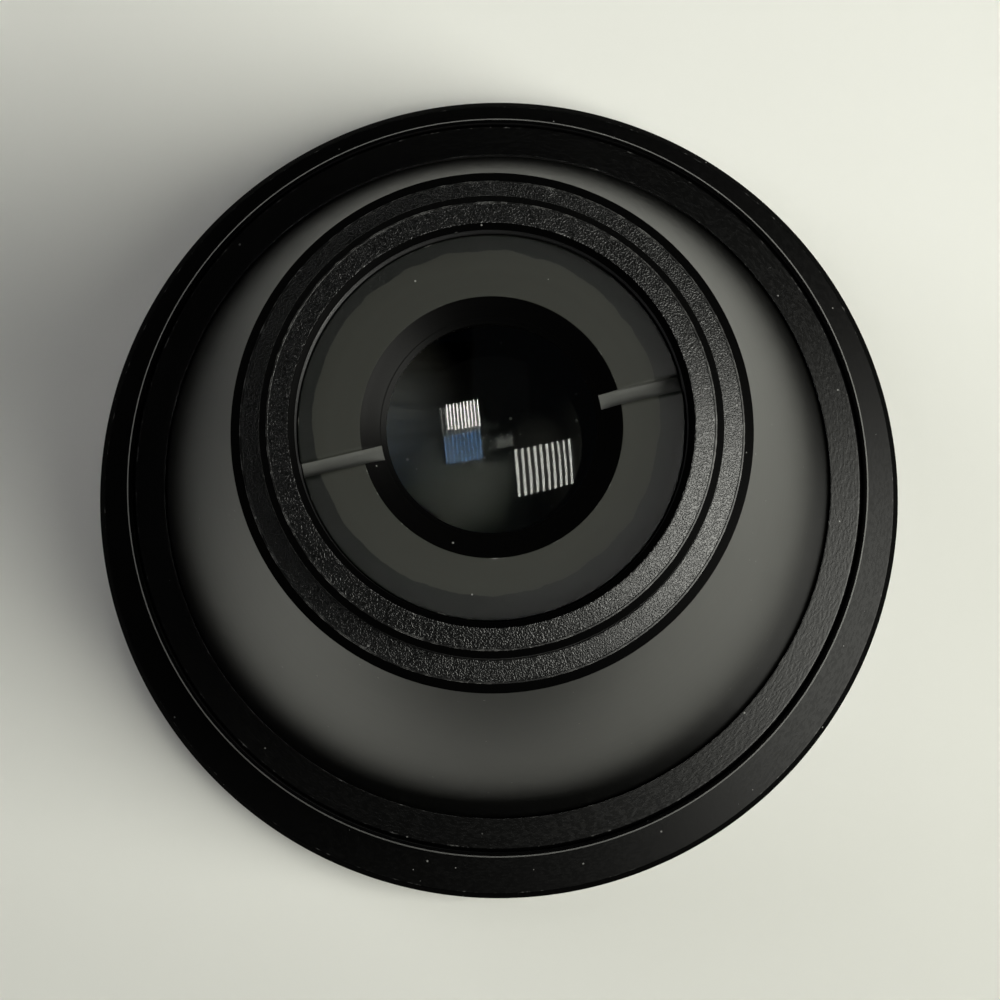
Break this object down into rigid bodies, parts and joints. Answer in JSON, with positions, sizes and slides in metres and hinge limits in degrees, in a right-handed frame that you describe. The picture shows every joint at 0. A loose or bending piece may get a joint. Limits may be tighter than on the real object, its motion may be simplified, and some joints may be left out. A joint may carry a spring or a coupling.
{
  "type": "teleconverter lens",
  "caption": "Screw-on teleconverter lens: wide front barrel with a filter thread, smooth cone and slim rear nose with a male mount thread.",
  "frame": {"origin": "centre of the front rim's resting plane", "axes": "+Z along the optical axis from the front glass to the camera mount; +X to the right of the picture, +Y to its top"},
  "size_m": [0.088, 0.088, 0.0785],
  "materials": {
    "barrel_coat": "black wrinkle lacquer on aluminium",
    "cone_satin": "smooth satin black lacquer on aluminium",
    "anodised_black": "black anodised aluminium, fine turned",
    "ring_satin": "dark grey satin anodised aluminium",
    "baffle_black": "dead matt black lacquer on aluminium",
    "brass": "plain rolled",
    "seal_rubber": "matt black rubber",
    "coated_glass": "polished, anti-reflection coated",
    "screw_steel": "blackened steel"
  },
  "bodies": {
    "root": {"front_barrel": "barrel_coat", "shoulder_ring": "barrel_coat", "rear_mount_ring": "barrel_coat", "rear_cell": "barrel_coat", "cone_shell": "cone_satin", "front_cell": "anodised_black", "front_bezel_ring": "anodised_black", "front_retaining_ring": "anodised_black", "rear_retaining_ring": "ring_satin", "baffle_cone": "baffle_black", "light_stop": "baffle_black", "rear_spacer": "anodised_black", "rear_slip_ring": "anodised_black", "mount_shim": "brass", "front_oring": "seal_rubber", "shoulder_seal": "seal_rubber", "front_flint_lens": "coated_glass", "front_crown_lens": "coated_glass", "rear_negative_lens": "coated_glass", "rear_meniscus_lens": "coated_glass", "flange_screws": "screw_steel", "mount_grub_screws": "screw_steel"}
  },
  "joints": []
}
